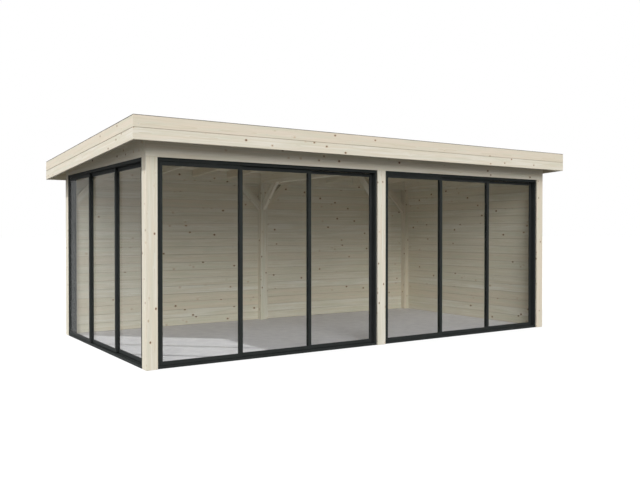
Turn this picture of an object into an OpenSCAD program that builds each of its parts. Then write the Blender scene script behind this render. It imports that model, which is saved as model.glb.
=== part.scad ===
// Garden pavilion: a spruce post-and-beam frame under a low lean-to roof.
// Two front bays and the left side close with three-panel sliding glass doors,
// the back and the right side with horizontal boards.
// Lengths are in millimetres, z is up, and the front faces -y.

/* [Plan] */
// Side of the square posts, and width of the beams
post_w = 120; // [90:5:160]
// Clear width of each front bay between posts
front_bay = 2745; // [2200:5:3200]
// Clear depth between the front and back posts
side_bay = 2745; // [2200:5:3200]
// Clear height below the beams
clear_h = 2090; // [1950:5:2300]

/* [Roof] */
// Overhang of the roof past the front posts
eave_front = 235; // [150:5:400]
// Overhang past the back posts
eave_back = 180; // [150:5:400]
// Overhang past the left posts
eave_left = 205; // [120:5:400]
// Overhang past the right posts
eave_right = 145; // [120:5:400]
// Height from the ground to the top of the front edging
roof_top = 2450; // [2420:5:2700]
// Fall of the roof to the back, per metre of depth
fall_per_m = 50; // [20:1:60]
// Height of the front and side fascias, with the edging on them
fascia_h = 235; // [150:5:260]
// Thickness of the fascias
fascia_t = 28; // [18:1:40]
// Height that the edging on the fascias stands above the roof boards
fascia_lip = 30; // [15:1:40]
// Thickness of the roof boards
deck_t = 19; // [15:1:28]
// Thickness of the roof covering
covering_t = 4; // [2:1:8]
// Thickness of the edging over the fascias
edging_t = 3; // [2:1:6]
// Width of a rafter
rafter_w = 45; // [35:5:70]
// Height of a rafter
rafter_h = 95; // [70:5:120]
// Number of rafters in each bay
rafters_per_bay = 4; // [2:1:6]

/* [Walls and floor] */
// Thickness of the wall boards
wall_t = 24; // [18:1:44]
// Distance from the outer post face in to the boards
wall_setback = 8; // [0:1:20]
// Thickness of the floor
floor_t = 12; // [8:1:25]

/* [Braces] */
// Length of a brace along the post, and along the beam
brace_leg = 400; // [250:10:500]
// Width of a brace across its slope
brace_h = 95; // [60:5:120]
// Thickness of a brace
brace_t = 45; // [30:5:70]

/* [Sliding doors] */
// Distance from the front post faces in to the door frames
front_recess = 20; // [0:1:20]
// Distance from the left post faces in to the door frame
side_recess = 2; // [0:1:20]
// Depth of a door frame through the wall
track_d = 100; // [98:1:100]
// Height of the sill track
sill_h = 26; // [22:1:40]
// Height of the head track
head_h = 34; // [28:1:50]
// Width of a jamb
jamb_w = 26; // [12:1:40]
// Thickness of a door panel
panel_t = 22; // [16:1:22]
// Distance from one track to the next
track_pitch = 28; // [28:1:32]
// Distance from a door frame's outer face in to its first panel
first_panel = 4; // [4:1:8]
// Width of the stiles where panels meet
stile_w = 36; // [30:1:60]
// Width of the stiles beside the jambs
end_stile_w = 26; // [20:1:60]
// Height of a panel's top and bottom rails
rail_h = 35; // [30:1:60]
// Overlap of neighbouring panels when the doors are closed
panel_lap = 36; // [20:1:40]
// Thickness of the glass
glass_t = 8; // [6:1:10]
// Gap between a panel and whatever it slides past
door_gap = 5; // [5:1:8]

/* [Hidden] */
door_name = ["front_left", "front_right", "left_side"];

spruce = [0.93, 0.88, 0.76];
membrane = [0.27, 0.28, 0.29];
anthracite = [0.19, 0.21, 0.21];
glazing = [0.72, 0.78, 0.78, 0.45];
floor_grey = [0.68, 0.69, 0.70];

// The frame's own corner is at x = 0, y = 0 while it is drawn
frame_w = 2 * front_bay + 3 * post_w;
frame_d = side_bay + 2 * post_w;
post_x = [0, post_w + front_bay, 2 * (post_w + front_bay)];
back_y = post_w + side_bay;
roof_x = [-eave_left, frame_w + eave_right];
roof_y = [-eave_front, frame_d + eave_back];
// Moves the middle of the roof's plan over the origin
to_centre = [-(roof_x[0] + roof_x[1]) / 2, -(roof_y[0] + roof_y[1]) / 2, 0];

fall = fall_per_m / 1000;
// Drop from the top of the edging to the underside of the roof boards
lip_to_underside = fascia_lip + deck_t;
// Overlap that keeps cuts clean
eps = 1;

// Door layout along the opening and through the wall
function opening_w(door) = door == 2 ? side_bay : front_bay;
function panel_w(door) =
    (opening_w(door) - 2 * (jamb_w + door_gap) + 2 * panel_lap) / 3;
panel_z = sill_h + door_gap;
panel_h = clear_h - head_h - sill_h - 2 * door_gap;
// Depth of the glass's edge in the panel frame
glass_bite = 11;
// Base of a track, and its fins and lips
track_base = 14;
fin_w = 6;
lip_w = 4;

// Height of the slope that starts drop below the top of the front edging
function slope_z(y, drop) = roof_top - drop - fall * (y - roof_y[0]);

// Solid along x between two sloping planes, from y0 to y1
module sloped(x0, x1, y0, y1, top_drop, bottom_drop) {
    translate([x0, 0, 0]) rotate([90, 0, 90]) linear_extrude(x1 - x0)
        polygon([
            [y0, slope_z(y0, bottom_drop)], [y1, slope_z(y1, bottom_drop)],
            [y1, slope_z(y1, top_drop)], [y0, slope_z(y0, top_drop)]
        ]);
}

// Solid from a level underside up to the roof boards
module under_deck(x0, x1, y0, y1, z0) {
    translate([x0, 0, 0]) rotate([90, 0, 90]) linear_extrude(x1 - x0)
        polygon([
            [y0, z0], [y1, z0],
            [y1, slope_z(y1, lip_to_underside)], [y0, slope_z(y0, lip_to_underside)]
        ]);
}

module post_row(y) {
    for (x = post_x) translate([x, y, 0]) cube([post_w, post_w, clear_h]);
}

module front_posts() {
    color(spruce) translate(to_centre) post_row(0);
}

module back_posts() {
    color(spruce) translate(to_centre) post_row(back_y);
}

// Left edges of the rafters: one along each side fascia, the rest between beams
function bay_rafters(x0) = [
    for (i = [1 : rafters_per_bay])
        x0 + post_w + i * front_bay / (rafters_per_bay + 1) - rafter_w / 2
];
rafter_x = concat(
    [roof_x[0] + fascia_t], bay_rafters(post_x[0]), bay_rafters(post_x[1]),
    [roof_x[1] - fascia_t - rafter_w]
);
rafter_y = [roof_y[0] + fascia_t, roof_y[1] - fascia_t];

module rafter_set() {
    for (x = rafter_x)
        sloped(x, x + rafter_w, rafter_y[0], rafter_y[1],
               lip_to_underside, lip_to_underside + rafter_h);
}

module rafters() {
    color(spruce) translate(to_centre) rafter_set();
}

// A beam across the rafters, with a pocket for each
module cross_beam(y) {
    color(spruce) translate(to_centre) difference() {
        under_deck(0, frame_w, y, y + post_w, clear_h);
        rafter_set();
    }
}

module front_beam() { cross_beam(0); }

module back_beam() { cross_beam(back_y); }

// A beam along the fall, between the cross beams
module side_beam(x) {
    color(spruce) translate(to_centre)
        under_deck(x, x + post_w, post_w, back_y, clear_h);
}

module left_beam() { side_beam(post_x[0]); }

module right_beam() { side_beam(post_x[2]); }

module middle_beam() { side_beam(post_x[1]); }

// Knee brace in the x-z plane, from the post face at the origin up to +x
module brace() {
    cut = brace_h * sqrt(2);
    rotate([90, 0, 0]) linear_extrude(brace_t, center = true)
        polygon([
            [0, clear_h - brace_leg], [0, clear_h - brace_leg + cut],
            [brace_leg - cut, clear_h], [brace_leg, clear_h]
        ]);
}

module back_braces() {
    y = back_y + post_w / 2;
    color(spruce) translate(to_centre) for (x = [post_x[0], post_x[1]]) {
        translate([x + post_w, y, 0]) brace();
        translate([x + post_w + front_bay, y, 0]) mirror([1, 0, 0]) brace();
    }
}

module middle_braces() {
    x = post_x[1] + post_w / 2;
    color(spruce) translate(to_centre) {
        translate([x, post_w, 0]) rotate([0, 0, 90]) brace();
        translate([x, back_y, 0]) rotate([0, 0, -90]) brace();
    }
}

module back_wall(x) {
    y = back_y + post_w - wall_setback - wall_t;
    color(spruce) translate(to_centre)
        translate([x + post_w, y, 0]) cube([front_bay, wall_t, clear_h]);
}

module back_wall_left() { back_wall(post_x[0]); }

module back_wall_right() { back_wall(post_x[1]); }

module right_wall() {
    x = frame_w - wall_setback - wall_t;
    color(spruce) translate(to_centre)
        translate([x, post_w, 0]) cube([wall_t, side_bay, clear_h]);
}

// The floor lies between the posts, the walls and the door sills
module floor() {
    x1 = frame_w - wall_setback - wall_t;
    y1 = back_y + post_w - wall_setback - wall_t;
    color(floor_grey) translate(to_centre) difference() {
        translate([side_recess + track_d, front_recess + track_d, 0])
            cube([x1 - side_recess - track_d, y1 - front_recess - track_d, floor_t]);
        for (x = post_x) translate([x, back_y, -eps])
            cube([post_w, post_w, floor_t + 2 * eps]);
    }
}

module roof_deck() {
    color(spruce) translate(to_centre)
        sloped(roof_x[0] + fascia_t, roof_x[1] - fascia_t, rafter_y[0], rafter_y[1],
               fascia_lip, lip_to_underside);
}

// The covering runs out over the back fascia, where the water leaves the roof
module roof_covering() {
    color(membrane) translate(to_centre)
        sloped(roof_x[0] + fascia_t, roof_x[1] - fascia_t, rafter_y[0], roof_y[1],
               fascia_lip - covering_t, fascia_lip);
}

// A thin strip over the front fascia, and one over each side fascia behind it
module roof_edging() {
    color(membrane) translate(to_centre) {
        translate([roof_x[0], roof_y[0], roof_top - edging_t])
            cube([roof_x[1] - roof_x[0], fascia_t, edging_t]);
        for (x = [roof_x[0], roof_x[1] - fascia_t])
            sloped(x, x + fascia_t, rafter_y[0], roof_y[1], 0, edging_t);
    }
}

module front_fascia() {
    color(spruce) translate(to_centre)
        translate([roof_x[0], roof_y[0], roof_top - fascia_h])
            cube([roof_x[1] - roof_x[0], fascia_t, fascia_h - edging_t]);
}

module back_fascia() {
    color(spruce) translate(to_centre)
        sloped(roof_x[0] + fascia_t, roof_x[1] - fascia_t, rafter_y[1], roof_y[1],
               fascia_lip, fascia_h);
}

module side_fascia(x) {
    color(spruce) translate(to_centre)
        sloped(x, x + fascia_t, rafter_y[0], roof_y[1], edging_t, fascia_h);
}

module left_fascia() { side_fascia(roof_x[0]); }

module right_fascia() { side_fascia(roof_x[1] - fascia_t); }

// Puts a door at its opening, numbered as in door_name.
// In a door's own axes x runs along the opening and y goes in from outside.
module at_opening(door) {
    translate(to_centre)
        if (door == 2)
            translate([side_recess, back_y, 0]) rotate([0, 0, -90]) children();
        else
            translate([post_x[door] + post_w, front_recess, 0]) children();
}

// Section through a track, with a lip at each edge and a fin under each panel
module track_section(h) {
    square([track_d, track_base]);
    for (y = [0, track_d - lip_w]) translate([y, 0]) square([lip_w, h]);
    for (i = [0 : 2]) translate([track_y(i) + (panel_t - fin_w) / 2, 0])
        square([fin_w, h]);
}

// Outer face of the panel on track i, counted from outside
function track_y(i) = first_panel + i * track_pitch;

module door_tracks(door) {
    color(anthracite) at_opening(door) {
        rotate([90, 0, 90]) linear_extrude(opening_w(door)) track_section(sill_h);
        translate([0, 0, clear_h]) rotate([90, 0, 90])
            linear_extrude(opening_w(door)) mirror([0, 1]) track_section(head_h);
    }
}

module door_jambs(door) {
    color(anthracite) at_opening(door)
        for (x = [0, opening_w(door) - jamb_w]) translate([x, 0, sill_h])
            cube([jamb_w, track_d, clear_h - sill_h - head_h]);
}

// Puts panel i at its place: panel 0 stands on the left, on the outer track
module at_panel(door, i) {
    at_opening(door)
        translate([
            jamb_w + door_gap + i * (panel_w(door) - panel_lap), track_y(i), panel_z
        ])
            children();
}

// Widths of the left and right stiles of panel i
function left_stile(i) = i == 0 ? end_stile_w : stile_w;
function right_stile(i) = i == 2 ? end_stile_w : stile_w;

// The pane of panel i, with its edge inside the stiles and rails
module pane(door, i) {
    rail_inset = rail_h - glass_bite;
    translate([left_stile(i) - glass_bite, (panel_t - glass_t) / 2, rail_inset])
        cube([
            panel_w(door) - left_stile(i) - right_stile(i) + 2 * glass_bite,
            glass_t,
            panel_h - 2 * rail_inset
        ]);
}

module door_panel(door, i) {
    color(anthracite) at_panel(door, i) difference() {
        cube([panel_w(door), panel_t, panel_h]);
        translate([left_stile(i), -eps, rail_h])
            cube([
                panel_w(door) - left_stile(i) - right_stile(i),
                panel_t + 2 * eps,
                panel_h - 2 * rail_h
            ]);
        pane(door, i);
    }
}

module door_glass(door, i) {
    color(glazing) at_panel(door, i) pane(door, i);
}

front_posts();
back_posts();
front_beam();
back_beam();
left_beam();
right_beam();
middle_beam();
back_braces();
middle_braces();
back_wall_left();
back_wall_right();
right_wall();
floor();
rafters();
roof_deck();
roof_covering();
roof_edging();
front_fascia();
back_fascia();
left_fascia();
right_fascia();
for (door = [0 : 2]) {
    door_tracks(door);
    door_jambs(door);
    for (i = [0 : 2]) {
        door_panel(door, i);
        door_glass(door, i);
    }
}
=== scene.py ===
import math

import bmesh
import bpy
from mathutils import Matrix, Vector


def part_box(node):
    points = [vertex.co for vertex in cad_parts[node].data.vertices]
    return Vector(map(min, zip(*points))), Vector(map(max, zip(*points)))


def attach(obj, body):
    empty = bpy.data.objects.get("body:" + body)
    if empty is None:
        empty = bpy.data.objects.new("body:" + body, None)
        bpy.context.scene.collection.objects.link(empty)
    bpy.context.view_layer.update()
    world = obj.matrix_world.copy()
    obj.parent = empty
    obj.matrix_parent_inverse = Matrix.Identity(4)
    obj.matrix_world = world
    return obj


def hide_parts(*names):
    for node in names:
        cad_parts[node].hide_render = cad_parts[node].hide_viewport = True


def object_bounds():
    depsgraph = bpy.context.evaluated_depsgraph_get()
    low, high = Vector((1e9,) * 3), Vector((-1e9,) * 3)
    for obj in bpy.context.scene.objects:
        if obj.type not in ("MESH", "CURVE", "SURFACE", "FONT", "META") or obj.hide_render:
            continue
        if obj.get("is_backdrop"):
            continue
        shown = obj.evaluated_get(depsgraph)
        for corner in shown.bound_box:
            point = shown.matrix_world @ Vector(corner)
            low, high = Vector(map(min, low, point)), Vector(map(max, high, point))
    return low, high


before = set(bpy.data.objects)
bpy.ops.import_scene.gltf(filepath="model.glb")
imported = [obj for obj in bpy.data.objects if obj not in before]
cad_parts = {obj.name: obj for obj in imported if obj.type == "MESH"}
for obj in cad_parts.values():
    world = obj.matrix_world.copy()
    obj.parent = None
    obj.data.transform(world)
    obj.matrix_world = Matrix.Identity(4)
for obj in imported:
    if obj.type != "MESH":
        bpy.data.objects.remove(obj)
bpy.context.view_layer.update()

bpy.context.scene.view_settings.view_transform = "Standard"

# Camera: 1.36 m above the ground, a little below the eyes of someone standing off
# the front left corner, and nearly level, so that the posts stay upright.
camera_data = bpy.data.cameras.new("Camera")
camera_data.sensor_width = 36.0
camera_data.lens = 40.255
camera_data.clip_end = 400.0
camera = bpy.data.objects.new("Camera", camera_data)
camera.location = (-5.3538, -8.1845, 1.3552)
camera.rotation_euler = (math.radians(89.347), 0.0, math.radians(-33.770))
bpy.context.scene.collection.objects.link(camera)
bpy.context.scene.camera = camera


# Floor: 12 mm light grey cement boards, laid between the sills, the posts and the
# walls, with their joints filled and floated flush, so that none shows.
def colour(code):
    """A colour written as sRGB hex, in the linear values that shaders take."""
    parts = [int(code[i:i + 2], 16) / 255 for i in (1, 3, 5)]
    linear = [p / 12.92 if p <= 0.04045 else ((p + 0.055) / 1.055) ** 2.4 for p in parts]
    return (*linear, 1.0)


def add_node(owner, kind, inputs=None, **settings):
    """Adds a shader node. An input given as a node takes its first live output."""
    made = owner.node_tree.nodes.new("ShaderNode" + kind)
    for name, value in settings.items():
        setattr(made, name, value)
    for name, value in (inputs or {}).items():
        if isinstance(value, bpy.types.Node):
            value = next(output for output in value.outputs if output.enabled)
        if isinstance(value, bpy.types.NodeSocket):
            owner.node_tree.links.new(value, made.inputs[name])
        else:
            made.inputs[name].default_value = value
    return made


def new_finish(name):
    """An empty material, and where a point of the piece is, in metres."""
    finish = bpy.data.materials.new(name)
    finish.use_nodes = True
    finish.node_tree.nodes.clear()
    return finish, add_node(finish, "TexCoord").outputs["Object"]


# Floated cement is matt. Its tone drifts from board to board and, in clouds of
# 140 mm, with the float, and its coarser sand, 2 to 3 mm, shows as a fine speckle.
cement, place = new_finish("Light grey cement floor boards")
batch = add_node(cement, "TexNoise", {"Vector": place, "Scale": 1.1, "Detail": 3.0})
cloud = add_node(cement, "TexNoise", {"Vector": place, "Scale": 7.0, "Detail": 6.0, "Roughness": 0.6})
sand = add_node(cement, "TexNoise", {"Vector": place, "Scale": 420.0, "Detail": 3.0})
tone = add_node(cement, "Mix", {0: batch, 6: colour("#E3E0E6"), 7: colour("#EAE7EA")}, data_type="RGBA")
patch = add_node(cement, "MapRange", {"Value": cloud, "From Min": 0.35, "From Max": 0.7})
tone = add_node(cement, "Mix", {0: patch, 6: tone, 7: colour("#D9D6DC")}, data_type="RGBA")
grain = add_node(cement, "MapRange", {"Value": sand, "From Min": 0.55, "From Max": 0.8, "To Max": 0.35})
tone = add_node(cement, "Mix", {0: grain, 6: tone, 7: colour("#B4B2B4")}, data_type="RGBA")
gloss = add_node(cement, "MapRange", {"Value": cloud, "To Min": 0.62, "To Max": 0.78})
relief = add_node(cement, "Bump", {"Height": sand, "Strength": 0.25, "Distance": 0.0006})
skin = add_node(cement, "BsdfPrincipled", {"Base Color": tone, "Roughness": gloss, "Normal": relief})
add_node(cement, "OutputMaterial", {"Surface": skin})
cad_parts["floor"].material_slots[0].material = cement


# Posts: six 120 mm square posts of planed spruce with the heart boxed in, cut
# square and stood on the ground. Their arrises are eased with a hand plane.
def spruce(name, along, across, first, cover, middle, pith, width=None, knots=5, size=0.009,
           joint=0.0, lean=0.0, lay=None, tree=0):
    """Planed spruce, freshly sawn: pale, with fine growth rings and small knots.

    The grain runs on axis along. Timbers repeat on axis across every cover,
    from first on, and each is cut from another part of the log. middle is the
    centre of their thickness, pith how far from there the log's heart lies.
    knots is how many show in a square metre, size the radius of the largest,
    joint how dark the painted shade is in the V where two boards meet, and lean
    how far the boards drop in each metre of their run. Where timbers run several
    ways in one piece, lay names the attribute that holds each point's place on
    its own timber. Another tree gives other boards.
    """
    finish, place = new_finish(name)
    if lay:
        place = add_node(finish, "Attribute", attribute_name=lay).outputs["Vector"]
    width = width or cover
    axes = add_node(finish, "SeparateXYZ", {0: place})
    other = ({"X", "Y", "Z"} - {along, across}).pop()
    run, wide, deep = (axes.outputs[axis] for axis in (along, across, other))
    if lean:
        wide = add_node(finish, "Math", {0: run, 1: lean, 2: wide}, operation="MULTIPLY_ADD")
    steps = add_node(finish, "Math", {0: wide, 1: first}, operation="SUBTRACT")
    steps = add_node(finish, "Math", {0: steps, 1: cover}, operation="DIVIDE")
    number = add_node(finish, "Math", {0: steps}, operation="FLOOR")
    share = add_node(finish, "Math", {0: steps}, operation="FRACT")
    local = add_node(finish, "Math", {0: share, 1: cover, 2: -cover / 2}, operation="MULTIPLY_ADD")
    deep = add_node(finish, "Math", {0: deep, 1: middle}, operation="SUBTRACT")

    # Each board draws lots of its own, and starts somewhere in 37 m of timber
    number = add_node(finish, "Math", {0: number, 1: 20.0 * tree}, operation="ADD")
    luck = add_node(finish, "TexWhiteNoise", {"W": number}, noise_dimensions="1D")
    lucks = add_node(finish, "SeparateXYZ", {0: luck.outputs["Color"]})
    run = add_node(finish, "Math", {0: lucks.outputs["X"], 1: 37.0, 2: run}, operation="MULTIPLY_ADD")

    # Knots are the roots of branches, a third longer along the grain, set through
    # the whole log. A face shows those whose middle lies within size of it.
    shorten = 0.75
    branch_run = add_node(finish, "Math", {0: run, 1: shorten}, operation="MULTIPLY")
    branch = add_node(finish, "CombineXYZ", {0: branch_run, 1: local, 2: deep})
    branches = (knots / (shorten * 2 * size)) ** (1 / 3)
    knot = add_node(finish, "TexVoronoi", {"Vector": branch, "Scale": branches, "Randomness": 1.0})
    knot = add_node(finish, "Math", {0: knot, 1: 1 / (branches * size)}, operation="MULTIPLY")
    core = add_node(finish, "MapRange", {"Value": knot, "From Min": 0.8, "From Max": 1.0,
                                         "To Min": 1.0, "To Max": 0.0})
    ring = add_node(finish, "MapRange", {"Value": knot, "From Min": 0.9, "From Max": 2.0,
                                         "To Min": 1.0, "To Max": 0.0}, interpolation_type="SMOOTHSTEP")
    swirl = add_node(finish, "MapRange", {"Value": knot, "From Min": 0.5, "From Max": 4.5,
                                          "To Min": 0.016, "To Max": 0.0},
                     interpolation_type="SMOOTHSTEP")

    # Growth rings 3 to 4 mm apart round the heart, as in spruce that grew fast,
    # bent where they pass a knot and drawn out along the grain
    heart_shift = 0.7 * width
    drawn_out = 0.25
    heart = add_node(finish, "Math", {0: lucks.outputs["Y"], 1: heart_shift, 2: -heart_shift / 2},
                     operation="MULTIPLY_ADD")
    heart = add_node(finish, "Math", {0: heart, 1: local}, operation="ADD")
    ring_wide = add_node(finish, "Math", {0: heart, 1: swirl}, operation="ADD")
    ring_deep = add_node(finish, "Math", {0: lucks.outputs["Z"], 1: pith, 2: pith},
                         operation="MULTIPLY_ADD")
    ring_deep = add_node(finish, "Math", {0: ring_deep, 1: deep}, operation="ADD")
    ring_run = add_node(finish, "Math", {0: run, 1: drawn_out}, operation="MULTIPLY")
    log = add_node(finish, "CombineXYZ", {0: ring_run, 1: ring_wide, 2: ring_deep})
    rings = add_node(finish, "TexWave", {"Vector": log, "Scale": 88.0, "Distortion": 11.0,
                                         "Detail": 2.0, "Detail Scale": 0.1, "Detail Roughness": 0.45},
                     wave_type="RINGS", rings_direction="X", wave_profile="SAW")
    late = add_node(finish, "Math", {0: rings.outputs["Fac"], 1: 3.0}, operation="POWER")

    # Soft streaks of sapwood, 20 mm wide, and broader blushes. Real fibres would
    # be too fine to show, so they are drawn 1 to 2 mm wide
    streak_at = add_node(finish, "VectorMath", {0: log, 1: (5.0, 46.0, 46.0)}, operation="MULTIPLY")
    streak = add_node(finish, "TexNoise", {"Vector": streak_at, "Scale": 1.0, "Detail": 4.0,
                                           "Roughness": 0.6})
    blush_at = add_node(finish, "VectorMath", {0: log, 1: (7.0, 19.0, 19.0)}, operation="MULTIPLY")
    blush = add_node(finish, "TexNoise", {"Vector": blush_at, "Scale": 1.0, "Detail": 3.0})
    fibre_at = add_node(finish, "VectorMath", {0: log, 1: (24.0, 620.0, 620.0)}, operation="MULTIPLY")
    fibre = add_node(finish, "TexNoise", {"Vector": fibre_at, "Scale": 1.0, "Detail": 2.0})

    board = add_node(finish, "Mix", {0: luck, 6: colour("#F0EDE3"), 7: colour("#EAE4D4")},
                     data_type="RGBA")
    rosy = add_node(finish, "MapRange", {"Value": lucks.outputs["Z"], "From Min": 0.55, "To Max": 0.55})
    board = add_node(finish, "Mix", {0: rosy, 6: board, 7: colour("#E4D3BF")}, data_type="RGBA")
    warm = add_node(finish, "MapRange", {"Value": streak, "From Min": 0.4, "From Max": 0.66,
                                         "To Max": 0.85})
    board = add_node(finish, "Mix", {0: warm, 6: board, 7: colour("#DCD4BE")}, data_type="RGBA")
    cool = add_node(finish, "MapRange", {"Value": blush, "From Min": 0.46, "From Max": 0.68,
                                         "To Max": 0.7})
    board = add_node(finish, "Mix", {0: cool, 6: board, 7: colour("#DBDAC7")}, data_type="RGBA")
    flush = add_node(finish, "SeparateXYZ", {0: blush.outputs["Color"]})
    flush = add_node(finish, "MapRange", {"Value": flush.outputs["Z"], "From Min": 0.48,
                                          "From Max": 0.66, "To Max": 0.4})
    board = add_node(finish, "Mix", {0: flush, 6: board, 7: colour("#EADDC9")}, data_type="RGBA")
    line = add_node(finish, "Math", {0: late, 1: 0.34}, operation="MULTIPLY")
    board = add_node(finish, "Mix", {0: line, 6: board, 7: colour("#C4B190")}, data_type="RGBA")
    hair = add_node(finish, "MapRange", {"Value": fibre, "From Min": 0.45, "From Max": 0.8,
                                         "To Max": 0.22})
    board = add_node(finish, "Mix", {0: hair, 6: board, 7: colour("#BFAF92")}, data_type="RGBA")
    halo = add_node(finish, "Math", {0: ring, 1: 0.5}, operation="MULTIPLY")
    board = add_node(finish, "Mix", {0: halo, 6: board, 7: colour("#B9956A")}, data_type="RGBA")
    wood = add_node(finish, "Mix", {0: late, 6: colour("#6B4C33"), 7: colour("#4A3222")},
                    data_type="RGBA")
    board = add_node(finish, "Mix", {0: core, 6: board, 7: wood}, data_type="RGBA")
    if joint:
        # Painted shade: the planed V of a joint is darkened brown for the shade that falls in it
        v_edge = cover / 2 - 0.0025
        shade_fade = 0.002
        away = add_node(finish, "Math", {0: local}, operation="ABSOLUTE")
        groove = add_node(finish, "MapRange", {"Value": away, "From Min": v_edge - shade_fade,
                                               "From Max": v_edge, "To Max": joint})
        board = add_node(finish, "Mix", {0: groove, 6: board, 7: colour("#7F6A50")}, data_type="RGBA")

    gloss = add_node(finish, "Math", {0: core, 1: -0.15, 2: 0.64}, operation="MULTIPLY_ADD")
    height = add_node(finish, "Math", {0: late, 1: 0.6, 2: fibre}, operation="MULTIPLY_ADD")
    relief = add_node(finish, "Bump", {"Height": height, "Strength": 0.3, "Distance": 0.0004})
    skin = add_node(finish, "BsdfPrincipled", {"Base Color": board, "Roughness": gloss,
                                               "Normal": relief})
    add_node(finish, "OutputMaterial", {"Surface": skin})
    return finish


def add_length(shape, low, high, eased):
    """A squared length of timber or metal between two corners, edges eased."""
    verts = bmesh.ops.create_cube(shape, size=1.0)["verts"]
    bmesh.ops.scale(shape, verts=verts, vec=high - low)
    bmesh.ops.translate(shape, verts=verts, vec=(low + high) / 2)
    edges = [edge for edge in shape.edges if edge.verts[0] in verts]
    bmesh.ops.bevel(shape, geom=edges, offset=eased, segments=2, affect="EDGES",
                    profile=0.5, material=-1)


def set_piece(name, shape, finish, slot, body, *stands_for):
    """Makes the shape a piece of the pavilion. slot is not used."""
    mesh = bpy.data.meshes.new(name)
    bmesh.ops.recalc_face_normals(shape, faces=shape.faces)
    shape.to_mesh(mesh)
    shape.free()
    mesh.materials.append(finish)
    piece = bpy.data.objects.new(name, mesh)
    bpy.context.scene.collection.objects.link(piece)
    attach(piece, body)
    if stands_for:
        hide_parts(*stands_for)


for row in ("front", "back"):
    low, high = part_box(row + "_posts")
    post_side = high.y - low.y
    pitch = (high.x - low.x - post_side) / 2
    finish = spruce("Planed spruce, " + row + " posts", "Z", "X", low.x - (pitch - post_side) / 2, pitch,
                    (low.y + high.y) / 2, pith=0.012, width=post_side, knots=24, size=0.008)
    shape = bmesh.new()
    for i in range(3):
        foot = Vector((low.x + i * pitch, low.y, low.z))
        top = foot + Vector((post_side, post_side, high.z - low.z))
        add_length(shape, foot, top, eased=0.003)
    set_piece(row + "_planed_posts", shape, finish, "spruce", "building", row + "_posts")


# Beams: 120 mm wide planed spruce on the post tops. The front and back beams run
# the full width and are notched for the rafters. The side and middle beams are
# let in between them. All are cut to the fall on top.
for node, along in (("front_beam", 0), ("back_beam", 0), ("left_beam", 1), ("middle_beam", 1),
                    ("right_beam", 1)):
    low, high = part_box(node)
    through = 1 - along
    finish = spruce("Planed spruce, " + node.replace("_", " "), "XY"[along], "Z", low.z, high.z - low.z,
                    (low[through] + high[through]) / 2, pith=0.02, knots=8, size=0.011)
    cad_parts[node].material_slots[0].material = finish


# Knee braces: 95 x 45 mm planed spruce at 45 degrees, from the posts up to the
# beams. Each is cut flat at both ends and held by two zinc-plated screws an end.
brace_width = 0.095
low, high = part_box("back_braces")
leg = high.z - low.z
brace_thick = high.y - low.y
# Each brace has a log of its own in the grain, this far along and up from the last
next_run = 3.0
next_log = 1.0
brace_finish = spruce("Planed spruce, braces", "X", "Z", -next_log / 2, next_log, 0.0, pith=0.03,
                      width=brace_width, knots=10, lay="on_timber")


def add_brace(shape, place):
    """A brace from the post face at the origin up along +x, put at its place."""
    cut = brace_width * math.sqrt(2)
    corners = [(0, -leg), (0, cut - leg), (leg - cut, 0), (leg, 0)]
    verts = [shape.verts.new((x, -brace_thick / 2, z)) for x, z in corners]
    made = bmesh.ops.extrude_face_region(shape, geom=[shape.faces.new(verts)])["geom"]
    far = [part for part in made if isinstance(part, bmesh.types.BMVert)]
    bmesh.ops.translate(shape, verts=far, vec=(0, brace_thick, 0))
    verts += far
    edges = [edge for edge in shape.edges if edge.verts[0] in verts]
    before = set(shape.verts) - set(verts)
    bmesh.ops.bevel(shape, geom=edges, offset=0.002, segments=2, affect="EDGES",
                    profile=0.5, material=-1)
    verts = [vert for vert in shape.verts if vert not in before]
    level = Matrix.Rotation(math.radians(45), 4, "Y")
    apart = Vector((next_run, 0, next_log)) * (len(before) // len(verts))
    on_timber = shape.verts.layers.float_vector["on_timber"]
    for vert in verts:
        vert[on_timber] = level @ vert.co + apart
    bmesh.ops.transform(shape, matrix=place, verts=verts)


screw_radius = 0.0045
screw_neck = 0.75 * screw_radius
screw_rim = 0.5 * screw_radius
screw_deep = 0.0012
screw_recess = 0.7 * screw_deep
screw_proud = 0.0004
screw_from_end = 0.06
lobe_waist = 0.75


def add_screw(shape, spot, facing):
    """A countersunk screw head with a six-lobed recess, set in timber at spot."""
    before = set(shape.verts)
    verts = bmesh.ops.create_cone(shape, cap_ends=True, segments=12, radius1=screw_neck,
                                  radius2=screw_radius, depth=screw_deep)["verts"]
    cap = max({face for vert in verts for face in vert.link_faces},
              key=lambda face: face.calc_center_median().z)
    bmesh.ops.inset_region(shape, faces=[cap], thickness=screw_rim)
    bmesh.ops.scale(shape, verts=list(cap.verts)[::2], vec=(lobe_waist, lobe_waist, 1))
    bmesh.ops.translate(shape, verts=cap.verts, vec=(0, 0, -screw_recess))
    turn = Vector((0, 0, 1)).rotation_difference(facing).to_matrix().to_4x4()
    sunk = Matrix.Translation(spot + facing.normalized() * (screw_proud - screw_deep / 2))
    made = [vert for vert in shape.verts if vert not in before]
    bmesh.ops.transform(shape, matrix=sunk @ turn, verts=made)


def add_brace_screws(shape, place):
    """Two screws side by side near each end of a brace, in its under edge."""
    slant = Vector((1, 0, 1)).normalized()
    under = Vector((1, 0, -1)).normalized()
    for start, way in ((Vector((0, 0, -leg)), 1), (Vector((leg, 0, 0)), -1)):
        for aside in (-brace_thick / 4, brace_thick / 4):
            spot = start + slant * way * screw_from_end + Vector((0, aside, 0))
            add_screw(shape, place @ spot, place.to_3x3() @ under)


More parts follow.
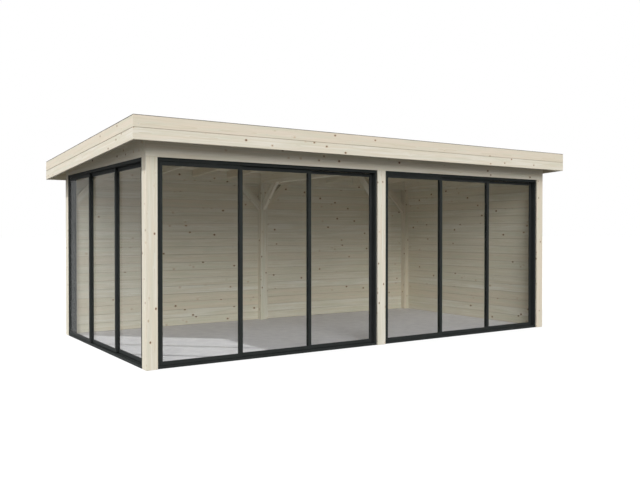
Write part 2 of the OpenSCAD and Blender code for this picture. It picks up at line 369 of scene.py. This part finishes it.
# Zinc plate is bright, with a faint crystal bloom that makes its gloss uneven
zinc, place = new_finish("Zinc-plated steel")
bloom = add_node(zinc, "TexNoise", {"Vector": place, "Scale": 650.0, "Detail": 3.0})
tone = add_node(zinc, "Mix", {0: bloom, 6: colour("#B4B6B7"), 7: colour("#C9CACA")}, data_type="RGBA")
gloss = add_node(zinc, "MapRange", {"Value": bloom, "To Min": 0.3, "To Max": 0.5})
skin = add_node(zinc, "BsdfPrincipled", {"Base Color": tone, "Roughness": gloss, "Metallic": 1.0})
add_node(zinc, "OutputMaterial", {"Surface": skin})

middle_x = (low.x + high.x) / 2
shape = bmesh.new()
shape.verts.layers.float_vector.new("on_timber")
screws = bmesh.new()
for x, turn in ((low.x, 0), (middle_x - post_side / 2, 180),
                (middle_x + post_side / 2, 0), (high.x, 180)):
    turned = Matrix.Rotation(math.radians(turn), 4, "Z")
    spot = Matrix.Translation((x, (low.y + high.y) / 2, high.z)) @ turned
    add_brace(shape, spot)
    add_brace_screws(screws, spot)
set_piece("back_knee_braces", shape, brace_finish, "spruce", "building", "back_braces")

low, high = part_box("middle_braces")
shape = bmesh.new()
shape.verts.layers.float_vector.new("on_timber")
for y, turn in ((low.y, 90), (high.y, -90)):
    turned = Matrix.Rotation(math.radians(turn), 4, "Z")
    spot = Matrix.Translation(((low.x + high.x) / 2, y, high.z)) @ turned
    add_brace(shape, spot)
    add_brace_screws(screws, spot)
set_piece("middle_knee_braces", shape, brace_finish, "spruce", "building", "middle_braces")
set_piece("brace_screws", screws, zinc, None, "building")


# Walls: 24 mm tongued and grooved spruce boards, 113 mm cover, laid level from
# the ground up and housed between the posts. Both faces have a small V at each
# joint. The lowest board is ripped to a strip, and the top one fits the beam.
wall_cover = 0.113
wall_first = 0.013
open_joint = 0.0016
tongue_height = 0.006
groove_depth = 0.007


def add_board(shape, corner, run, rise, depth, tongue=True, groove=True):
    """A tongued and grooved board, chamfered at its joints on both faces.

    corner is where its outer face starts, run its length, rise the way to the
    next board, depth the way through it. The joint stands a little open, down
    to the tongue.
    """
    up = rise.normalized()
    inward = depth.normalized()
    cover = rise.length - open_joint
    thick = depth.length
    eased = 0.0025
    third = thick / 3
    outline = [(0, eased), (0, cover - eased), (eased, cover)]
    if tongue:
        tip = cover + tongue_height
        outline += [(third, cover), (third, tip), (2 * third, tip), (2 * third, cover)]
    outline += [(thick - eased, cover), (thick, cover - eased), (thick, eased), (thick - eased, 0)]
    if groove:
        outline += [(2 * third, 0), (2 * third, groove_depth), (third, groove_depth), (third, 0)]
    outline += [(eased, 0)]
    verts = [shape.verts.new(corner + inward * a + up * b) for a, b in outline]
    made = bmesh.ops.extrude_face_region(shape, geom=[shape.faces.new(verts)])["geom"]
    far = [part for part in made if isinstance(part, bmesh.types.BMVert)]
    bmesh.ops.translate(shape, verts=far, vec=run)


def stack_boards(shape, low, high, run, depth):
    """Boards one above the other from low.z to high.z."""
    level = low.z
    top = low.z + wall_first
    while level < high.z:
        rise = Vector((0, 0, top - level))
        start = Vector((low.x, low.y, level))
        add_board(shape, start, run, rise, depth, tongue=top < high.z, groove=level > low.z)
        level = top
        top = min(top + wall_cover, high.z)


for node, along in (("back_wall_left", 0), ("back_wall_right", 0), ("right_wall", 1)):
    low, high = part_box(node)
    through = 1 - along
    finish = spruce("Planed spruce boards, " + node.replace("_", " "), "XY"[along], "Z",
                    low.z + wall_first, wall_cover, (low[through] + high[through]) / 2, pith=0.03,
                    knots=6, size=0.0115, joint=0.2)
    sides = (Vector((high.x - low.x, 0, 0)), Vector((0, high.y - low.y, 0)))
    shape = bmesh.new()
    stack_boards(shape, low, high, sides[along], sides[through])
    set_piece(node + "_boards", shape, finish, "spruce", "building", node)


# Rafters: ten 95 x 45 mm planed spruce rafters from the front fascia to the back
# one, falling 50 mm in each metre. Eight pass through notches in the beams and
# two carry the side fascias.
fall = 0.05
rafter_width = 0.045
rafter_height = 0.095
rafters_per_bay = 4


def lay_to_fall(shape, high_y):
    """Drops a level shape to the fall of the roof, starting from high_y."""
    slope = Matrix.Identity(4)
    slope[2][1] = -fall
    slope[2][3] = fall * high_y
    bmesh.ops.transform(shape, matrix=slope, verts=shape.verts)


low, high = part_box("rafters")
rafter_lines = [low.x + rafter_width / 2]
for node in ("back_wall_left", "back_wall_right"):
    bay_low, bay_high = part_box(node)
    gap = (bay_high.x - bay_low.x) / (rafters_per_bay + 1)
    rafter_lines += [bay_low.x + (i + 1) * gap for i in range(rafters_per_bay)]
rafter_lines += [high.x - rafter_width / 2]
shape = bmesh.new()
for x in rafter_lines:
    start = Vector((x - rafter_width / 2, low.y, high.z - rafter_height))
    end = Vector((x + rafter_width / 2, high.y, high.z))
    add_length(shape, start, end, eased=0.002)
lay_to_fall(shape, low.y)
finish = spruce("Planed spruce, rafters", "Y", "X", rafter_lines[1] - gap / 2, gap, high.z, pith=0.05,
                width=rafter_width)
set_piece("planed_rafters", shape, finish, "spruce", "building", "rafters")


# Roof boards: 19 mm tongued and grooved spruce across the rafters, nailed down,
# with the V of each joint showing from below.
low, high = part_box("roof_deck")
deck_thick = 0.019
deck_boards = 30
deck_cover = (high.y - low.y) / deck_boards
shape = bmesh.new()
for i in range(deck_boards):
    start = Vector((low.x, low.y + i * deck_cover, high.z))
    add_board(shape, start, Vector((high.x - low.x, 0, 0)), Vector((0, deck_cover, 0)),
              Vector((0, 0, -deck_thick)), tongue=i < deck_boards - 1, groove=i > 0)
lay_to_fall(shape, low.y)
finish = spruce("Planed spruce boards, roof", "X", "Y", low.y, deck_cover, high.z, pith=0.06)
set_piece("roof_boards", shape, finish, "spruce", "building", "roof_deck")


# Fascias: two planed spruce boards one above the other, tongued together, with
# a V between them. The front pair runs the full width and covers the ends of
# the side pairs. Each board is held by zinc-plated screws into the rafters.
fascia_height = 0.232
fascia_board = fascia_height / 2
back_fascia_board = 0.1025
# The faces stand this far back, so that the screw heads don't pass the edging
fascia_inset = 0.001
side_fascia_screws = 7


def add_fascia(shape, foot, run, board, depth):
    """Two boards of a fascia, from its lowest outer corner, each board high."""
    rise = Vector((0, 0, board))
    for i in range(2):
        add_board(shape, foot + i * rise, run, rise, depth, tongue=i == 0, groove=i == 1)


low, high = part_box("front_fascia")
shape = bmesh.new()
foot = Vector((low.x + fascia_inset, low.y + fascia_inset, low.z))
add_fascia(shape, foot, Vector((high.x - low.x - 2 * fascia_inset, 0, 0)), fascia_board,
           Vector((0, high.y - low.y - fascia_inset, 0)))
finish = spruce("Planed spruce boards, front fascia", "X", "Z", low.z, fascia_board,
                (low.y + high.y) / 2, pith=0.035, knots=7.5, size=0.0095, joint=0.24, tree=4)
set_piece("front_fascia_boards", shape, finish, "spruce", "building", "front_fascia")

for node, outer, way in (("left_fascia", 0, 1), ("right_fascia", 1, -1)):
    low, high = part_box(node)
    face = (low.x, high.x)[outer] + way * fascia_inset
    shape = bmesh.new()
    add_fascia(shape, Vector((face, low.y, high.z - fascia_height)), Vector((0, high.y - low.y, 0)),
               fascia_board, Vector((way * (high.x - low.x - fascia_inset), 0, 0)))
    lay_to_fall(shape, low.y)
    # joint is the painted shade in their V joints, deeper than on the other boards
    finish = spruce("Planed spruce boards, " + node.replace("_", " "), "Y", "Z",
                    high.z + fall * low.y - fascia_height, fascia_board, (low.x + high.x) / 2,
                    pith=0.035, knots=7.5, joint=0.5, lean=fall, tree=4)
    set_piece(node + "_boards", shape, finish, "spruce", "building", node)

low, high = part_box("back_fascia")
shape = bmesh.new()
foot = Vector((low.x, high.y - fascia_inset, high.z - 2 * back_fascia_board))
add_fascia(shape, foot, Vector((high.x - low.x, 0, 0)), back_fascia_board,
           Vector((0, low.y - high.y + fascia_inset, 0)))
lay_to_fall(shape, low.y)
finish = spruce("Planed spruce boards, back fascia", "X", "Z", low.z, back_fascia_board,
                (low.y + high.y) / 2, pith=0.035)
set_piece("back_fascia_boards", shape, finish, "spruce", "building", "back_fascia")

# A screw goes through each board where it crosses a rafter, midway between the
# joint of the boards and the edge of the rafter.
screws = bmesh.new()
rafters_low, rafters_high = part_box("rafters")
rafter_top = rafters_high.z
front_low, front_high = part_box("front_fascia")
back_low, back_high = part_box("back_fascia")
front_joint = front_low.z + fascia_board
back_joint = back_high.z - back_fascia_board
back_drop = fall * (rafters_high.y - rafters_low.y)
for edge in (rafter_top, rafter_top - rafter_height):
    for x in rafter_lines:
        spot = Vector((x, front_low.y + fascia_inset, (front_joint + edge) / 2))
        add_screw(screws, spot, Vector((0, -1, 0)))
        spot = Vector((x, back_high.y - fascia_inset, (back_joint + edge - back_drop) / 2))
        add_screw(screws, spot, Vector((0, 1, 0)))
    for node, way in (("left_fascia", -1), ("right_fascia", 1)):
        low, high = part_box(node)
        face = (high.x if way > 0 else low.x) - way * fascia_inset
        joint = high.z - fascia_board
        for i in range(side_fascia_screws):
            y = low.y + (high.y - low.y) * (i + 0.5) / side_fascia_screws
            spot = Vector((face, y, (joint + edge) / 2 - fall * (y - low.y)))
            add_screw(screws, spot, Vector((way, 0, 0)))
set_piece("fascia_screws", screws, zinc, None, "building")


# Roof covering: one sheet of grey EPDM rubber glued to the roof boards, turned
# up behind the front and side fascias, and run out over the back one.
low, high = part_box("roof_covering")
sheet_thick = 0.004
sheet_inset = 0.0002
upstand_below_top = 0.002
corner_lap = 0.001
upstand_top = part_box("front_fascia")[1].z - upstand_below_top
upstand_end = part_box("left_fascia")[1].y
shape = bmesh.new()
add_length(shape, Vector((low.x, low.y, high.z - sheet_thick)), high - Vector((0, sheet_inset, 0)),
           eased=0.0005)
corner_low = Vector((low.x + sheet_inset, low.y + sheet_inset, high.z - sheet_thick / 2))
corner_high = Vector((high.x - sheet_inset, low.y + sheet_inset + sheet_thick, upstand_top))
add_length(shape, corner_low, corner_high, eased=0.0008)
for x in (corner_low.x, corner_high.x - sheet_thick):
    add_length(shape, Vector((x, corner_high.y - corner_lap, corner_low.z)),
               Vector((x + sheet_thick, upstand_end, upstand_top)), eased=0.0008)
lay_to_fall(shape, low.y)

# The rubber is matt and finely pebbled, and chalks unevenly in the weather
rubber, place = new_finish("Grey EPDM roofing sheet")
chalk = add_node(rubber, "TexNoise", {"Vector": place, "Scale": 2.6, "Detail": 7.0, "Roughness": 0.62})
pebble = add_node(rubber, "TexNoise", {"Vector": place, "Scale": 180.0, "Detail": 3.0})
tone = add_node(rubber, "Mix", {0: chalk, 6: colour("#393C3E"), 7: colour("#55585A")}, data_type="RGBA")
gloss = add_node(rubber, "MapRange", {"Value": chalk, "To Min": 0.55, "To Max": 0.85})
ripple = add_node(rubber, "Math", {0: chalk, 1: 4.0, 2: pebble}, operation="MULTIPLY_ADD")
relief = add_node(rubber, "Bump", {"Height": ripple, "Strength": 0.5, "Distance": 0.001})
skin = add_node(rubber, "BsdfPrincipled", {"Base Color": tone, "Roughness": gloss, "Normal": relief})
add_node(rubber, "OutputMaterial", {"Surface": skin})
set_piece("roof_sheet", shape, rubber, "membrane", "building", "roof_covering")


# Roof edging and door frames: aluminium, powder coated in satin anthracite. The
# edging is a flat strip on the fascias. A door's tracks have a fin for each panel.
def powder_coat(name, dusty, least, most):
    """Powder coat: an even dark tone, a fine orange peel, and dust in soft drifts.

    It shines little, so that the white surround doesn't lift its tone. dusty is
    the colour of the dust, and least and most are how much of it lies there.
    """
    coat, place = new_finish(name)
    speck = add_node(coat, "TexNoise", {"Vector": place, "Scale": 900.0, "Detail": 2.0})
    drift = add_node(coat, "TexNoise", {"Vector": place, "Scale": 5.0, "Detail": 4.0})
    tone = add_node(coat, "Mix", {0: speck, 6: colour("#2A2D2C"), 7: colour("#333635")},
                    data_type="RGBA")
    dust = add_node(coat, "MapRange", {"Value": drift, "From Min": 0.4, "From Max": 0.7,
                                       "To Min": least, "To Max": most})
    tone = add_node(coat, "Mix", {0: dust, 6: tone, 7: colour(dusty)}, data_type="RGBA")
    gloss = add_node(coat, "MapRange", {"Value": drift, "To Min": 0.52, "To Max": 0.64})
    relief = add_node(coat, "Bump", {"Height": speck, "Strength": 0.08, "Distance": 0.0001})
    skin = add_node(coat, "BsdfPrincipled", {"Base Color": tone, "Roughness": gloss, "Normal": relief,
                                             "Specular IOR Level": 0.04})
    add_node(coat, "OutputMaterial", {"Surface": skin})
    return coat


edging_coat = powder_coat("Anthracite powder coat under roof dust", "#97918A", 0.5, 0.8)
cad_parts["roof_edging"].material_slots[0].material = edging_coat
coat = powder_coat("Anthracite powder coat on aluminium", "#3B3E3E", 0.0, 0.3)
doors = ("front_left", "front_right", "left_side")
for door in doors:
    for node in (door + "_tracks", door + "_jambs"):
        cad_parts[node].material_slots[0].material = coat


# Door panels: a slim frame of the same coated aluminium, two stiles with the
# rails between them, round a pane held by a black rubber gasket on each face.
# The stile beside a jamb is narrower than the stiles where panels meet.
meeting_stile = 0.036
end_stile = 0.026
rail = 0.035
gasket_show = 0.003
gasket_deep = 0.003

# Gasket rubber is matt and nearly black, with a little dust caught on it
black, place = new_finish("Black rubber gasket")
dust = add_node(black, "TexNoise", {"Vector": place, "Scale": 120.0, "Detail": 3.0})
tone = add_node(black, "Mix", {0: dust, 6: colour("#0E0F10"), 7: colour("#1E1F20")}, data_type="RGBA")
gloss = add_node(black, "MapRange", {"Value": dust, "To Min": 0.5, "To Max": 0.75})
skin = add_node(black, "BsdfPrincipled", {"Base Color": tone, "Roughness": gloss})
add_node(black, "OutputMaterial", {"Surface": skin})


def corner(axis, along, through, z):
    """A point of a door, whose opening runs on axis 0 or 1."""
    return Vector((along, through, z)) if axis == 0 else Vector((through, along, z))


for door in doors:
    axis = 1 if door == "left_side" else 0
    # The panels beside the jambs, at the low and the high end of the axis
    low_panel, high_panel = (3, 1) if door == "left_side" else (1, 3)
    for i in (1, 2, 3):
        node = f"{door}_panel_{i}"
        body = f"{door}_door_{i}"
        low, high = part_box(node)
        near, far = low[1 - axis], high[1 - axis]
        start = low[axis] + (end_stile if i == low_panel else meeting_stile)
        end = high[axis] - (end_stile if i == high_panel else meeting_stile)
        shape = bmesh.new()
        add_length(shape, low, corner(axis, start, far, high.z), eased=0.0015)
        add_length(shape, corner(axis, end, near, low.z), high, eased=0.0015)
        for z in (low.z, high.z - rail):
            add_length(shape, corner(axis, start, near, z), corner(axis, end, far, z + rail),
                       eased=0.0015)
        set_piece(node + "_frame", shape, coat, "frames", body, node)

        pane_low, pane_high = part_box(f"{door}_glass_{i}")
        near, far = pane_low[1 - axis], pane_high[1 - axis]
        shape = bmesh.new()
        for near, far in ((near - gasket_deep, near), (far, far + gasket_deep)):
            for along in (start, end - gasket_show):
                add_length(shape, corner(axis, along, near, low.z + rail),
                           corner(axis, along + gasket_show, far, high.z - rail), eased=0.0005)
            for z in (low.z + rail, high.z - rail - gasket_show):
                add_length(shape, corner(axis, start + gasket_show, near, z),
                           corner(axis, end - gasket_show, far, z + gasket_show), eased=0.0005)
        set_piece(node + "_gasket", shape, black, "frames", body)


# Panes: 8 mm toughened float glass, clear with the faint green of its iron, and
# a film that varies a little from pane to pane. Light that only passes through
# on its way to another surface goes straight on. The index is low, because the
# white surround shows in every reflection and would veil the room behind.
glazing, place = new_finish("Clear toughened float glass")
film = add_node(glazing, "TexNoise", {"Vector": place, "Scale": 3.0, "Detail": 3.0})
tone = add_node(glazing, "Mix", {0: film, 6: colour("#ECEEED"), 7: colour("#F1F3F2")}, data_type="RGBA")
pane = add_node(glazing, "BsdfPrincipled", {"Base Color": tone, "Roughness": 0.0, "IOR": 1.06,
                                            "Transmission Weight": 1.0})
through = add_node(glazing, "BsdfTransparent", {"Color": colour("#F1F2F1")})
rays = add_node(glazing, "LightPath").outputs
lit = add_node(glazing, "MixShader", {0: rays["Is Shadow Ray"], 1: pane, 2: through})
lit = add_node(glazing, "MixShader", {0: rays["Is Diffuse Ray"], 1: lit, 2: through})
add_node(glazing, "OutputMaterial", {"Surface": lit})
for door in doors:
    for i in (1, 2, 3):
        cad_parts[f"{door}_glass_{i}"].material_slots[0].material = glazing


# Studio: a plain pale floor that fades into a white surround, one broad soft
# lamp low in front, and one small lamp from the rear left that casts the shadows.
studio_reach = 150.0
studio_drop = 0.001


def add_seen(owner):
    """1 for rays the eye follows, straight, mirrored or through glass, and else 0."""
    rays = add_node(owner, "LightPath").outputs
    seen = add_node(owner, "Math", {0: rays["Is Camera Ray"], 1: rays["Is Glossy Ray"]}, operation="ADD")
    return add_node(owner, "Math", {0: seen, 1: rays["Is Transmission Ray"]}, operation="ADD",
                    use_clamp=True)


ground = new_finish("Studio floor")[0]
seen = add_seen(ground)
plain = add_node(ground, "BsdfDiffuse", {"Color": (0.13, 0.13, 0.13, 1.0)})
glow = add_node(ground, "Emission", {"Color": (1.0, 1.0, 1.0, 1.0), "Strength": 0.92})
pale = add_node(ground, "AddShader", {0: plain, 1: glow})
both = add_node(ground, "MixShader", {0: seen, 1: plain, 2: pale})
add_node(ground, "OutputMaterial", {"Surface": both})
shape = bmesh.new()
bmesh.ops.create_grid(shape, x_segments=1, y_segments=1, size=studio_reach)
bmesh.ops.translate(shape, verts=shape.verts, vec=(0, 0, -studio_drop))
mesh = bpy.data.meshes.new("studio_floor")
shape.to_mesh(mesh)
shape.free()
mesh.materials.append(ground)
studio_floor = bpy.data.objects.new("studio_floor", mesh)
bpy.context.scene.collection.objects.link(studio_floor)
studio_floor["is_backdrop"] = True

surround = bpy.data.worlds.new("Studio surround")
surround.use_nodes = True
surround.node_tree.nodes.clear()
level = add_node(surround, "MapRange", {"Value": add_seen(surround), "To Min": 0.46, "To Max": 1.0})
sky = add_node(surround, "Background", {"Color": (1.0, 1.0, 1.0, 1.0), "Strength": level})
add_node(surround, "OutputWorld", {"Surface": sky})
bpy.context.scene.world = surround

for name, strength, spread, elevation, bearing in (
    ("Front soft lamp", 2.3, 42, 28, 22),
    ("Rear left lamp", 2.3, 0.8, 41.2, 132.4),
):
    lamp_data = bpy.data.lights.new(name, "SUN")
    lamp_data.energy = strength
    lamp_data.angle = math.radians(spread)
    lamp = bpy.data.objects.new(name, lamp_data)
    lamp.rotation_euler = (math.radians(90 - elevation), 0, math.radians(-bearing))
    bpy.context.scene.collection.objects.link(lamp)

low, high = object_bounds()
